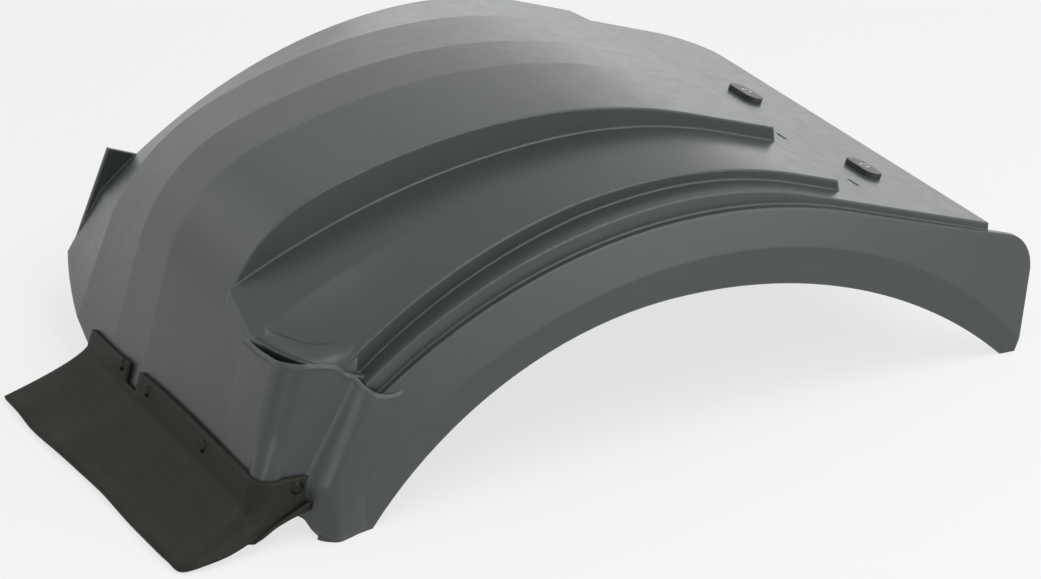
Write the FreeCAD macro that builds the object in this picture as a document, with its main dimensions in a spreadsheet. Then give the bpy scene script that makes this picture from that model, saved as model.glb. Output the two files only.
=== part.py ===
# Truck mudguard: a moulded shell with a scooped outer shoulder, a riveted rubber flap and two fixing points
# in rubber bushes on its end flange. Millimetres. X runs from the flap to the flange, Y from the outer side
# wall towards the vehicle, Z up. The floor is at z = 0 and the origin is under the middle of the guard's box.
import FreeCAD
import Part
import math
import os
from FreeCAD import Vector, Placement, Rotation

SIZES = [
    ("wall", 4.5, "wall of the moulded shell"),
    ("datum_x", 331.2, "build datum to the origin, along X"),
    ("datum_y", 306, "outer side wall to the origin, along Y"),
    ("guard_width", 612, "outer side wall to the inner edge"),
    ("rim_depth", 16, "turned-down rim on the inner edge"),
    ("front_slope", 20.4, "fall of the end flange in degrees"),
    ("panel_lean", 16, "lean of the rear panel from the vertical in degrees"),
    ("panel_bottom", 34, "lower edge of the rear panel above the floor"),
    ("far_cut_y", 430, "where the lower edge starts to rise towards the inner side"),
    ("far_cut_z", 72, "height of the lower edge at the inner side"),
    ("crown_x", 285, "top of the crown, along X"),
    ("crown_z", 330.5, "top of the crown above the floor"),
    ("crown_front_r", 640, "crown radius towards the flange"),
    ("crown_back_r", 740, "crown radius towards the flap"),
    ("shoulder_start", 17.3, "slope at which the rear shoulder starts, degrees"),
    ("shoulder_r", 165, "radius of the rear shoulder"),
    ("crown_in", 174, "outer face of the crown step from the side wall"),
    ("bevel_in", 312, "start of the first bevel from the side wall"),
    ("bevel_mid_in", 392, "start of the second bevel"),
    ("bevel_low_in", 500, "start of the third bevel"),
    ("bevel_mid_share", 0.1, "share of the fall taken by the first bevel"),
    ("bevel_low_share", 0.4, "share of the fall taken by two bevels"),
    ("edge_knee_x", 10, "rear knee of the inner edge, along X"),
    ("edge_foot_x", -123, "rear foot of the inner edge, along X"),
    ("front_share", 0.7, "share of the bevel's fall that is left at the front"),
    ("ear_x", 20, "rear corner of the ear on the inner edge, along X"),
    ("ear_z", 188, "height of the ear"),
    ("ear_end_x", 63, "front end of the ear, along X"),
    ("ear_low_z", 80, "lower end of the ear above the floor"),
    ("base_x", 392, "top of the base arch, along X"),
    ("base_z", 276, "top of the base arch above the floor"),
    ("base_front_r", 480, "base arch radius towards the flange"),
    ("base_back_r", 597, "base arch radius towards the flap"),
    ("ledge_in", 18, "base arch set back from the side wall"),
    ("return_in", 30, "return of the rear panel set back from the side wall"),
    ("scoop_x", 335, "top of the scoop floor at the crown step, along X"),
    ("scoop_z", 298, "top of the scoop floor at the crown step"),
    ("scoop_front_r", 600, "scoop floor radius towards the flange"),
    ("scoop_back_r", 870, "scoop floor radius towards the flap"),
    ("mid_in", 110, "middle line of the scoop from the side wall"),
    ("mid_x", 360, "top of the scoop middle line, along X"),
    ("mid_z", 293.5, "top of the scoop middle line"),
    ("mid_front_r", 560, "scoop middle radius towards the flange"),
    ("mid_back_r", 840, "scoop middle radius towards the flap"),
    ("crest_in", 50, "outer crest of the scoop from the side wall"),
    ("crest_rear_in", 40, "outer crest at its rear end"),
    ("crest_x", 385, "top of the crest, along X"),
    ("crest_z", 288.5, "top of the crest"),
    ("crest_front_r", 520, "crest radius towards the flange"),
    ("crest_back_r", 600, "crest radius towards the flap"),
    ("ramp_x", 616, "end of the raised crown and scoop, along X"),
    ("ramp_run", 3, "length of the ramp down to the end flange"),
    ("flange_end", 795, "end edge of the flange, along X"),
    ("flange_corner_r", 60, "round on the inner corner of the flange"),
    ("lip_z", 192, "upper edge of the rear panel under the scoop"),
    ("lip_end_x", 36, "end of the rear corner lip, along X"),
    ("lip_end_z", 155, "height of the rear corner lip at its end"),
    ("corner_r", 28, "round on the outer corner of the rear panel"),
    ("trough_z", 166, "bottom of the trough behind the lip"),
    ("trough_fall", 26, "fall of the trough bottom towards the wall"),
    ("top_x", 396, "top of the side wall, along X"),
    ("top_z", 257, "top of the side wall"),
    ("top_front_r", 600, "side wall top radius towards the flange"),
    ("top_back_r", 600, "side wall top radius towards the flap"),
    ("side_foot_x", -25, "rear foot of the side wall, along X"),
    ("side_corner_r", 26, "round on the rear corner of the side wall"),
    ("side_end_x", 830, "front foot of the side wall, along X"),
    ("side_end_lean", 14, "lean of the front end of the side wall, degrees"),
    ("side_end_r", 42, "round on the front upper corner of the side wall"),
    ("opening_x", 381.4, "top of the wheel opening, along X"),
    ("opening_z", 172.7, "top of the wheel opening above the floor"),
    ("opening_front_r", 623, "wheel opening radius towards the flange"),
    ("opening_back_r", 433, "wheel opening radius towards the flap"),
    ("axle_x", 409, "axis of the crease in the side wall, along X"),
    ("axle_z", -344, "axis of the crease in the side wall above the floor"),
    ("crease_r", 557, "radius of the soft crease in the side wall"),
    ("upper_tilt", 0.2, "inward tilt of the side wall above the crease"),
    ("lower_tilt", 0.16, "inward tilt of the side wall below the crease"),
    ("flap_t", 5, "rubber flap thickness"),
    ("flap_top", 75, "upper edge of the flap above the floor"),
    ("flap_bend", 33, "bend of the flap above the floor"),
    ("flap_reach", 74, "reach of the splayed flap from the panel line"),
    ("flap_far", 444, "inner end of the flap from the side wall"),
    ("flap_gap", 0.2, "clearance where the flap bends over the bevels"),
    ("notch_in", 308, "flap notch, near side"),
    ("notch_w", 27, "flap notch width"),
    ("notch_z", 46, "flap notch bottom above the floor"),
    ("rivet_z", 60, "height of the rivets above the floor"),
    ("rivet_1_on", 12, "first rivet beyond the rounded corner, on its return"),
    ("rivet_2_in", 147, "second rivet from the side wall"),
    ("rivet_3_in", 284, "third rivet from the side wall"),
    ("rivet_4_in", 351, "fourth rivet from the side wall"),
    ("rivet_d", 6.4, "rivet shank diameter"),
    ("rivet_play", 0.3, "play of the shank in its holes, on diameter"),
    ("rivet_head_d", 15, "rivet head diameter"),
    ("rivet_head_h", 2.8, "rivet head height"),
    ("tail_d", 10, "set tail diameter"),
    ("tail_h", 3, "set tail height"),
    ("washer_d", 18, "backing washer diameter"),
    ("washer_t", 1.5, "backing washer thickness"),
    ("fix_x", 716, "fixing points along X"),
    ("fix_1_in", 145, "outer fixing point from the side wall"),
    ("fix_2_in", 383, "inner fixing point from the side wall"),
    ("grommet_len", 52, "grommet head length"),
    ("grommet_wid", 24, "grommet head width"),
    ("grommet_head_h", 6, "grommet head height"),
    ("grommet_neck", 8, "grommet head beyond its neck, in all"),
    ("grommet_play", 0.3, "play of the neck in the flange hole, in all"),
    ("grommet_lip_h", 4, "grommet lower lip height"),
    ("sleeve_od", 12, "sleeve outer diameter"),
    ("sleeve_bore", 8.5, "sleeve bore for an M8 bolt"),
    ("sleeve_proud", 0.5, "sleeve beyond the rubber at each end"),
    ("slot_len", 20, "drain slot length at the ramp foot"),
    ("slot_w", 4, "drain slot width"),
    ("slot_x", 666, "drain slots along X"),
    ("slot_1_in", 91, "first drain slot from the side wall"),
    ("slot_2_in", 232, "second drain slot from the side wall"),
    ("slot_3_in", 366, "third drain slot from the side wall"),
]

doc = FreeCAD.newDocument("truck_mudguard")
sheet = doc.addObject("Spreadsheet::Sheet", "sizes")
for row, (alias, value, note) in enumerate(SIZES, 1):
    sheet.set("A%d" % row, note)
    sheet.set("B%d" % row, str(value))
    sheet.setAlias("B%d" % row, alias)
doc.recompute()


def size(alias):
    return float(sheet.get(alias))


def tan_deg(angle):
    return math.tan(math.radians(angle))


LOW = -60.0
LEAN = tan_deg(size("panel_lean"))
SLOPE = tan_deg(size("front_slope"))
ORIGIN = Vector(-size("datum_x"), -size("datum_y"), 0)


def at(point, y):
    return Vector(point[0], y, point[1])


def wire(points, y):
    corners = [at(p, y) for p in points]
    return Part.makePolygon(corners + corners[:1])


def prism(edges, y0, y1):
    """A closed outline in the XZ plane, made solid from y0 to y1."""
    face = Part.Face(Part.Wire(Part.__sortEdges__(edges)))
    return face.extrude(Vector(0, y1 - y0, 0))


class Arch:
    """A side outline: an arc to the rear, an arc to the front, then the straight fall of the flange."""

    def __init__(self, name, inset):
        self.x = size(name + "_x")
        self.z = size(name + "_z") - inset
        self.front = size(name + "_front_r") - inset
        self.back = size(name + "_back_r") - inset
        self.slope = math.radians(size("front_slope"))

    def rear(self, x):
        return (x, self.z - self.back + math.sqrt(self.back ** 2 - (self.x - x) ** 2))

    def top(self):
        return (self.x, self.z)

    def front_at(self, angle):
        return (self.x + self.front * math.sin(angle), self.z - self.front * (1 - math.cos(angle)))

    def tangent(self):
        return self.front_at(self.slope)

    def straight(self, x):
        t = self.tangent()
        return (x, t[1] - SLOPE * (x - t[0]))

    def meet(self, foot):
        """Where the rear arc meets a plane that leans like the rear panel and passes (foot, 0)."""
        low, high = foot, self.x
        for _ in range(60):
            mid = 0.5 * (low + high)
            if foot + LEAN * self.rear(mid)[1] > mid:
                low = mid
            else:
                high = mid
        return self.rear(low)

    def edges(self, first, last_x, y):
        """Edges from a point on the rear arc to the straight fall at last_x."""
        a0 = math.asin((self.x - first[0]) / self.back)
        mid = self.rear(self.x - self.back * math.sin(0.5 * a0))
        out = [Part.Arc(at(first, y), at(mid, y), at(self.top(), y)).toShape()]
        half = self.front_at(0.5 * self.slope)
        out.append(Part.Arc(at(self.top(), y), at(half, y), at(self.tangent(), y)).toShape())
        out.append(Part.LineSegment(at(self.tangent(), y), at(self.straight(last_x), y)).toShape())
        return out


def chain(points, y):
    return [Part.LineSegment(at(a, y), at(b, y)).toShape() for a, b in zip(points, points[1:])]


class Crown:
    """The raised crown with its rear shoulder and rear panel, as matched points for one inset."""

    def __init__(self, inset):
        self.arch = Arch("crown", inset)
        start = math.radians(size("shoulder_start"))
        lean = math.radians(90 - size("panel_lean"))
        radius = size("shoulder_r") - inset
        a = self.arch
        first = (a.x - a.back * math.sin(start), a.z - a.back * (1 - math.cos(start)))
        centre = (first[0] + radius * math.sin(start), first[1] - radius * math.cos(start))
        points = []
        for i in range(13):
            t = lean + (start - lean) * i / 12.0
            points.append((centre[0] - radius * math.sin(t), centre[1] + radius * math.cos(t)))
        for i in range(1, 11):
            t = start * (1 - i / 10.0)
            points.append((a.x - a.back * math.sin(t), a.z - a.back * (1 - math.cos(t))))
        for i in range(1, 11):
            points.append(a.front_at(a.slope * i / 10.0))
        self.points = points
        self.knee = points[0]
        self.foot_x = self.knee[0] - LEAN * self.knee[1]

    def panel_x(self, z):
        return self.foot_x + LEAN * z


OUT = Crown(0)
PANEL_X = OUT.foot_x


def edge_points(inset, count):
    """The inner edge: the base arch with its own rear knee, as points matched to the crown's."""
    arch = Arch("base", inset)
    knee_x = size("edge_knee_x") + 0.7 * inset
    a0 = math.asin((arch.x - knee_x) / arch.back)
    span = a0 * arch.back + arch.slope * arch.front
    out = []
    for i in range(count):
        s = span * i / (count - 1.0)
        if s <= a0 * arch.back:
            t = a0 - s / arch.back
            out.append((arch.x - arch.back * math.sin(t), arch.z - arch.back * (1 - math.cos(t))))
        else:
            out.append(arch.front_at((s - a0 * arch.back) / arch.front))
    return out


def along(points, count):
    """Points spaced evenly along a line of points."""
    steps = [math.hypot(b[0] - a[0], b[1] - a[1]) for a, b in zip(points, points[1:])]
    total = sum(steps)
    out = []
    for i in range(count):
        want = total * i / (count - 1.0)
        k = 0
        while k < len(steps) - 1 and want > steps[k]:
            want -= steps[k]
            k += 1
        f = min(1.0, want / steps[k])
        a, b = points[k], points[k + 1]
        out.append((a[0] + f * (b[0] - a[0]), a[1] + f * (b[1] - a[1])))
    return out


def mix(a, b, share):
    return (a[0] + share * (b[0] - a[0]), a[1] + share * (b[1] - a[1]))


def rear_line(inset, share):
    """Foot and knee of the rear face, from the flat panel (share 0) to the inner edge (share 1)."""
    crown = Crown(inset)
    edge = edge_points(inset, 3)
    shift = inset / math.cos(math.radians(size("panel_lean")))
    foot = mix((crown.panel_x(LOW), LOW), (size("edge_foot_x") + shift, LOW), share)
    return foot, mix(crown.knee, edge[0], share)


def crown_section(inset, share, y):
    """Closed outline of the crown at one station across the guard."""
    count = 41
    crown = Crown(inset)
    a = along(crown.points, count)
    b = edge_points(inset, count)
    fade = [1 - (1 - size("front_share")) * (i / (count - 1.0)) ** 2 for i in range(count)]
    top = [mix(p, q, share * f) for p, q, f in zip(a, b, fade)]
    foot = rear_line(inset, share)[0]
    base = Arch("base", inset)
    ramp_x = size("ramp_x") - 0.5 * inset
    end_x = size("ramp_x") + size("ramp_run") - 0.5 * inset
    ramp = mix(crown.arch.straight(ramp_x), base.straight(ramp_x), share * size("front_share"))
    curve = Part.BSplineCurve()
    curve.interpolate([at(p, y) for p in top])
    edges = chain([foot, top[0]], y)
    edges.append(curve.toShape())
    edges += chain([top[-1], ramp, base.straight(end_x), (end_x, LOW), foot], y)
    return Part.Wire(edges)


def loft(sections):
    return Part.makeLoft(sections, True, True)


def crown_form(inset, far_end):
    y = [size("crown_in") + inset, size("bevel_in"), size("bevel_mid_in"), size("bevel_low_in")]
    share = [0, 0, size("bevel_mid_share"), size("bevel_low_share")]
    form = None
    stations = list(zip(y, share)) + [(size("guard_width"), 1.0)]
    if far_end > size("guard_width"):
        stations.append((far_end, 1.0))
    elif far_end < size("guard_width"):
        f = (far_end - y[-1]) / (size("guard_width") - y[-1])
        stations[-1] = (far_end, share[-1] + f * (1 - share[-1]))
    for (y0, s0), (y1, s1) in zip(stations, stations[1:]):
        piece = loft([crown_section(inset, s0, y0), crown_section(inset, s1, y1)])
        form = piece if form is None else form.fuse(piece)
    return form


def scoop_section(name, inset, y):
    arch = Arch(name, inset)
    foot_x = Crown(inset).foot_x
    first = arch.meet(foot_x)
    base = Arch("base", inset)
    ramp_x = size("ramp_x") - 0.5 * inset
    end_x = size("ramp_x") + size("ramp_run") - 0.5 * inset
    edges = chain([(foot_x + LEAN * LOW, LOW), first], y)
    edges += arch.edges(first, ramp_x, y)
    edges += chain([arch.straight(ramp_x), base.straight(end_x), (end_x, LOW), (foot_x + LEAN * LOW, LOW)], y)
    return Part.Wire(edges)


def plan_prism(points, z0, z1):
    corners = [Vector(p[0], p[1], z0) for p in points]
    return Part.Face(Part.makePolygon(corners + corners[:1])).extrude(Vector(0, 0, z1 - z0))


def scoop_form(inset):
    """The scooped floor between the crown step and the crest, cut back to the line of the crest."""
    back = size("crown_in") + 2 + 1.5 * inset
    crest = size("crest_in") - 20
    near = loft([scoop_section("mid", inset, size("mid_in")), scoop_section("crest", inset, crest)])
    far = loft([scoop_section("scoop", inset, back), scoop_section("mid", inset, size("mid_in"))])
    rear = size("crest_rear_in") + inset
    line = size("crest_in") + inset
    plan = [(-300, rear), (size("lip_end_x"), rear), (300, line), (900, line), (900, back), (-300, back)]
    keep = plan_prism(plan, LOW - 1, 500)
    return near.fuse(far).common(keep)


def base_form(inset, far_end):
    """The base arch, which the flange and the ledge belong to."""
    arch = Arch("base", inset)
    first = arch.rear(size("edge_knee_x") + 0.7 * inset)
    end_x = size("flange_end") + (100 if inset else 0)
    edges = chain([(first[0], LOW), first], 0)
    edges += arch.edges(first, end_x, 0)
    edges += chain([arch.straight(end_x), (end_x, LOW), (first[0], LOW)], 0)
    form = prism(edges, 0, far_end - size("ledge_in") - inset)
    form.translate(Vector(0, size("ledge_in") + inset, 0))
    if not inset:
        corner = [e for e in form.Edges if abs(e.CenterOfMass.x - end_x) < 0.01
                  and abs(e.CenterOfMass.y - far_end) < 0.01 and e.Length > 50]
        form = form.makeFillet(size("flange_corner_r"), corner)
    form = form.cut(box(-400, size("crown_x"), size("bevel_in"), far_end + 1, LOW - 1, 500))
    return form.cut(box(-400, size("lip_end_x") + inset, 0, size("return_in") + inset, LOW - 1, 500))


def rear_form(inset):
    """The block behind the rear panel's lip, with its rounded outer corner."""
    shift = inset / math.cos(math.radians(size("panel_lean")))
    foot_x = PANEL_X + shift
    lip = size("lip_z") - 3 * inset
    end = (size("lip_end_x") + 24, size("lip_end_z") - 3 * inset)
    points = [(foot_x + LEAN * LOW, LOW), (foot_x + LEAN * lip, lip), end, (end[0], LOW)]
    near = size("return_in") + inset
    form = prism(chain(points + points[:1], 0), 0, size("crown_in") + 6 - near)
    form.translate(Vector(0, near, 0))
    corner = [e for e in form.Edges if abs(e.CenterOfMass.y - near) < 0.01
              and abs(e.CenterOfMass.x - (foot_x + LEAN * 0.5 * (LOW + lip))) < 0.01]
    return form.makeFillet(size("corner_r") - inset, corner)


def trough(inset):
    """The hollow behind the lip; the inset grows it for the inside of the shell."""
    lip_x = PANEL_X + LEAN * size("trough_z") + size("wall") / math.cos(math.radians(size("panel_lean")))
    near = size("return_in") + size("wall")
    end = size("lip_end_x")
    plan = [(lip_x, 120), (lip_x, near + 22), (lip_x + 3, near + 11), (lip_x + 10, near + 3), (lip_x + 22, near),
            (end, near), (end + 2, near + 4), (28, near + 6), (10, near + 8), (-8, near + 13), (-22, near + 22),
            (-33, near + 37), (-41, near + 60)]
    corners = [Vector(p[0], p[1], 0) for p in plan]
    face = Part.Face(Part.makePolygon(corners + corners[:1]))
    if inset:
        face = Part.Face(face.makeOffset2D(inset, 2).OuterWire)
    form = face.extrude(Vector(0, 0, 500))
    z0 = size("trough_z") - inset
    fall = size("trough_fall") / 80.0
    under = [(lip_x - 100, z0 + 100 * fall), (lip_x + 300, z0 - 300 * fall), (lip_x + 300, -400), (lip_x - 100, -400)]
    return form.cut(prism(chain(under + under[:1], -50), -50, 450))


def cone_cut(tilt, shift, far_r):
    """A ring that leaves the side wall tilted inward away from its crease."""
    r0 = size("crease_r")
    reach = abs(far_r - r0) * tilt
    points = [(r0, -30), (r0, shift), (far_r, shift + reach), (far_r, -30)]
    corners = [Vector(size("axle_x") + p[0], p[1], size("axle_z")) for p in points]
    face = Part.Face(Part.makePolygon(corners + corners[:1]))
    return face.revolve(Vector(size("axle_x"), 0, size("axle_z")), Vector(0, 1, 0), 360)


def side_form(inset):
    """The outer side wall as a block under the ledge."""
    arch = Arch("top", inset)
    shift = inset / math.cos(math.radians(size("panel_lean")))
    foot_x = size("side_foot_x") + shift
    first = arch.meet(foot_x)
    lean = tan_deg(size("side_end_lean"))
    end_x = size("side_end_x") + (150 if inset else 0)
    low, high = arch.tangent()[0], 1200.0
    for _ in range(60):
        mid = 0.5 * (low + high)
        if end_x + lean * arch.straight(mid)[1] > mid:
            low = mid
        else:
            high = mid
    edges = chain([(foot_x + LEAN * LOW, LOW), first], 0)
    edges += arch.edges(first, low, 0)
    edges += chain([arch.straight(low), (end_x + lean * LOW, LOW), (foot_x + LEAN * LOW, LOW)], 0)
    depth = size("return_in") + 14 - inset
    form = prism(edges, 0, depth)
    form.translate(Vector(0, inset, 0))
    if not inset:
        tip = arch.straight(low)
        upper = [e for e in form.Edges
                 if math.hypot(e.CenterOfMass.x - tip[0], e.CenterOfMass.z - tip[1]) < 0.01]
        form = form.makeFillet(size("side_end_r"), upper)
    corner = [e for e in form.Edges if abs(e.CenterOfMass.y - inset) < 0.01 and e.Length > 100
              and abs(e.CenterOfMass.x - foot_x - LEAN * e.CenterOfMass.z) < 0.01]
    form = form.makeFillet(size("side_corner_r") - 0.6 * inset, corner)
    form = form.cut(cone_cut(size("upper_tilt"), inset, 760))
    return form.cut(cone_cut(size("lower_tilt"), inset, 380))


def wheel_opening():
    """The hole in the side wall over the wheel, from two arcs that meet at its top."""
    x, z = size("opening_x"), size("opening_z")
    back, front = size("opening_back_r"), size("opening_front_r")
    rear = (math.radians(75), math.radians(35))
    fore = (math.radians(28), math.radians(56))
    b = [(x - back * math.sin(t), z - back * (1 - math.cos(t))) for t in rear]
    f = [(x + front * math.sin(t), z - front * (1 - math.cos(t))) for t in fore]
    edges = [Part.Arc(at(b[0], 0), at(b[1], 0), at((x, z), 0)).toShape(),
             Part.Arc(at((x, z), 0), at(f[0], 0), at(f[1], 0)).toShape()]
    edges += chain([f[1], (f[1][0], -400), (b[0][0], -400), b[0]], 0)
    hole = prism(edges, -5, size("return_in") + 15)
    hole.translate(Vector(0, -5, 0))
    return hole


def box(x0, x1, y0, y1, z0, z1):
    return Part.makeBox(x1 - x0, y1 - y0, z1 - z0, Vector(x0, y0, z0))


def fuse(forms):
    return forms[0].multiFuse(forms[1:])


def solid_of(shape):
    solids = sorted(shape.Solids, key=lambda s: s.Volume)
    return solids[-1]


def flange_frame(y):
    base = Arch("base", 0)
    spot = at(base.straight(size("fix_x")), y)
    return Placement(spot, Rotation(Vector(0, 1, 0), size("front_slope")))


def stadium(length, width, z0, z1):
    r = 0.5 * width
    h = 0.5 * length - r
    a = [Vector(-r, -h, z0), Vector(0, -h - r, z0), Vector(r, -h, z0)]
    b = [Vector(r, h, z0), Vector(0, h + r, z0), Vector(-r, h, z0)]
    edges = [Part.Arc(*a).toShape(), Part.LineSegment(a[2], b[0]).toShape(),
             Part.Arc(*b).toShape(), Part.LineSegment(b[2], a[0]).toShape()]
    return Part.Face(Part.Wire(edges)).extrude(Vector(0, 0, z1 - z0))


def rivet_frame(y):
    """Frame on the panel's outer face at one rivet: Z points out of the panel."""
    z = size("rivet_z")

    def panel(station):
        share = 0.0
        if station > size("bevel_in"):
            part_way = (station - size("bevel_in")) / (size("bevel_mid_in") - size("bevel_in"))
            share = size("bevel_mid_share") * part_way
        foot, knee = rear_line(0, share)
        f = (z - foot[1]) / (knee[1] - foot[1])
        rise = Vector(knee[0] - foot[0], 0, knee[1] - foot[1])
        return Vector(foot[0] + f * (knee[0] - foot[0]), station, z), rise

    spot, rise = panel(y)
    across = panel(y + 1)[0] - spot
    normal = rise.cross(across)
    if normal.x > 0:
        normal = normal * -1
    return Placement(spot, Rotation(Vector(0, 0, 1), normal))


def return_frame():
    """Frame on the return face beside the rounded corner, Z pointing out of it."""
    x = PANEL_X + LEAN * size("rivet_z") + size("corner_r") / math.cos(math.radians(size("panel_lean")))
    spot = Vector(x + size("rivet_1_on"), size("return_in"), size("rivet_z"))
    return Placement(spot, Rotation(Vector(0, 0, 1), Vector(0, -1, 0)))


RIVETS = [return_frame()] + [rivet_frame(size("rivet_%d_in" % i)) for i in range(2, 5)]
FIXES = [size("fix_1_in"), size("fix_2_in")]


def shell_shape():
    wall = size("wall")
    far = size("guard_width")
    outer = fuse([base_form(0, far), crown_form(0, far), scoop_form(0), rear_form(0), side_form(0)])
    outer = outer.cut(trough(0))
    inner_far = far - wall
    inner = fuse([base_form(wall, inner_far), crown_form(wall, inner_far), scoop_form(wall), rear_form(wall),
                  side_form(wall)])
    inner = inner.cut(trough(wall))
    shell = outer.cut(inner)
    rim = size("rim_depth")
    opening = fuse([base_form(rim, far + 30), crown_form(rim, far + 30)])
    shell = shell.cut(opening.common(box(-400, 1200, far - 2 * wall, far + 30, LOW, 500)))
    shell = shell.cut(wheel_opening())
    shell = shell.cut(box(-400, 1200, size("ledge_in") - 2, far + 50, LOW - 20, size("panel_bottom")))
    shell = shell.cut(box(-400, 1200, -20, far + 50, LOW - 20, 0))
    near, low, high = size("far_cut_y"), size("panel_bottom"), size("far_cut_z")
    rise = [(near, LOW), (near, low), (far, high), (far + 60, high + 20), (far + 60, LOW)]
    corners = [Vector(-400, y, z) for y, z in rise]
    shell = shell.cut(Part.Face(Part.makePolygon(corners + corners[:1])).extrude(Vector(600, 0, 0)))
    base = Arch("base", 0)
    root = 0.5 * rim
    knee = base.rear(size("edge_knee_x") + root)
    end = base.rear(size("ear_end_x"))
    heel, top = rear_line(0, 1)
    share = (size("ear_low_z") - heel[1]) / (top[1] - heel[1])
    low = (heel[0] + share * (top[0] - heel[0]) + 2, size("ear_low_z"))
    ear = [low, (size("ear_x"), size("ear_z")), (end[0], end[1] - root), (knee[0], knee[1] - root)]
    plate = prism(chain(ear + ear[:1], 0), 0, wall)
    plate.translate(Vector(0, far - wall, 0))
    shell = shell.fuse(plate)
    neck = size("grommet_neck") - size("grommet_play")
    for y in FIXES:
        hole = stadium(size("grommet_len") - neck, size("grommet_wid") - neck, -40, 40)
        hole.Placement = flange_frame(y)
        shell = shell.cut(hole)
    for i in (1, 2, 3):
        slot = stadium(size("slot_len"), size("slot_w"), -30, 30)
        slot.Placement = Placement(at(base.straight(size("slot_x")), size("slot_%d_in" % i)),
                                   Rotation(Vector(0, 1, 0), size("front_slope")))
        shell = shell.cut(slot)
    for frame in RIVETS:
        hole = Part.makeCylinder(0.5 * (size("rivet_d") + size("rivet_play")), 40, Vector(0, 0, -20))
        hole.Placement = frame
        shell = shell.cut(hole)
    return solid_of(shell)


def flap_section(place, reach, tip_z, gap, t):
    """Closed bent outline of the rubber; place(d, z) is a point d out from the panel at height z."""
    top, bend = size("flap_top"), size("flap_bend")
    inner = [(gap, top), (gap, bend + 6), (gap + 1.5, bend), (gap + 7, bend - 5), (gap + reach, tip_z)]
    dx, dz = inner[-1][0] - inner[-2][0], inner[-1][1] - inner[-2][1]
    length = math.hypot(dx, dz)
    nx, nz = -dz / length * size("flap_t"), dx / length * size("flap_t")
    outer = [(gap + t, top), (gap + t, bend + 9), (gap + t + 1.2, bend + 4.5),
             (gap + 7 + nx * 1.5, bend - 5 + nz * 1.02), (gap + reach + nx, tip_z + nz)]
    points = [place(d, z) for d, z in inner + outer[::-1]]
    return Part.makePolygon(points + points[:1])


def flap_shape():
    reach = size("flap_reach")
    gap = size("flap_gap")
    r = size("corner_r")
    lean = math.cos(math.radians(size("panel_lean")))
    thick = size("flap_t") / lean
    sections = []

    def on_rear(y, share):
        foot, knee = rear_line(0, share)
        k = (knee[0] - foot[0]) / (knee[1] - foot[1])
        return lambda d, z: Vector(foot[0] + k * (z - foot[1]) - d, y, z)

    def share_at(y):
        stations = [(0, 0), (size("bevel_in"), 0), (size("bevel_mid_in"), size("bevel_mid_share")),
                    (size("bevel_low_in"), size("bevel_low_share"))]
        for (y0, s0), (y1, s1) in zip(stations, stations[1:]):
            if y <= y1:
                return s0 + (s1 - s0) * (y - y0) / (y1 - y0)
        return stations[-1][1]

    corner_y = size("return_in") + r
    stations = [(size("flap_far"), 1.12, 1.5), (0.5 * (size("flap_far") + size("bevel_mid_in")), 1.24, 0),
                (size("bevel_mid_in"), 1.25, 0), (size("bevel_in"), 1.16, 0.5), (220, 1.08, 0), (110, 1.07, 0.4),
                (corner_y, 1.0, 0)]
    for y, share, tip in stations:
        off = gap if share_at(y) else 0
        sections.append(flap_section(on_rear(y, share_at(y)), reach * share, tip, off, thick))

    def on_turn(d, z):
        turn = (r / lean) * (1 - math.cos(math.radians(30)))
        return Vector(PANEL_X + LEAN * z + turn - d, corner_y - 0.5 * r, z)

    sections.append(flap_section(on_turn, reach * 1.02, 0, 4 * gap, thick))

    def on_corner(angle):
        c, s = math.cos(math.radians(angle)), math.sin(math.radians(angle))

        def place(d, z):
            x0 = PANEL_X + LEAN * z + r / lean
            return Vector(x0 - (r / lean) * c - d * c, corner_y - r * s - d * s, z)
        return place

    for angle, share, tip in ((58, 0.26, 9), (90, 0.13, 19)):
        off = 4 * gap if angle < 90 else 0
        sections.append(flap_section(on_corner(angle), reach * share, tip, off, size("flap_t")))

    def on_return(d, z):
        x0 = PANEL_X + LEAN * z + r / lean + 26
        return Vector(x0, size("return_in") - d, z)

    sections.append(flap_section(on_return, reach * 0.11, 25, 0, size("flap_t")))
    flap = None
    for a, b in zip(sections, sections[1:]):
        piece = loft([a, b])
        flap = piece if flap is None else flap.fuse(piece)
    notch = box(-300, 0, size("notch_in"), size("notch_in") + size("notch_w"), size("notch_z"), 200)
    flap = flap.cut(notch)
    for frame in RIVETS:
        hole = Part.makeCylinder(0.5 * (size("rivet_d") + size("rivet_play")), 40, Vector(0, 0, -20))
        hole.Placement = frame
        flap = flap.cut(hole)
    return solid_of(flap.removeSplitter())


PARTS = []


def keep(obj, label, placement):
    obj.Label = label
    obj.Placement = placement
    PARTS.append(obj)
    return obj


def moved(frame):
    return Placement(ORIGIN, Rotation()).multiply(frame)


shell = doc.addObject("Part::Feature", "mudguard_shell")
shell.Shape = shell_shape()
keep(shell, "mudguard_shell", Placement(ORIGIN, Rotation()))

flap = doc.addObject("Part::Feature", "rubber_flap")
flap.Shape = flap_shape()
keep(flap, "rubber_flap", Placement(ORIGIN, Rotation()))


def bound(kind, name, **expressions):
    obj = doc.addObject(kind, name)
    for prop, text in expressions.items():
        obj.setExpression(prop.replace("__", "."), text)
    return obj


def cylinder(name, radius, height, z):
    return bound("Part::Cylinder", name, Radius=radius, Height=height, Placement__Base__z=z)


def fused(name, members):
    obj = doc.addObject("Part::MultiFuse", name)
    obj.Shapes = members
    obj.Refine = True
    return obj


def cut(name, base, tool):
    obj = doc.addObject("Part::Cut", name)
    obj.Base = base
    obj.Tool = tool
    return obj


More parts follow.
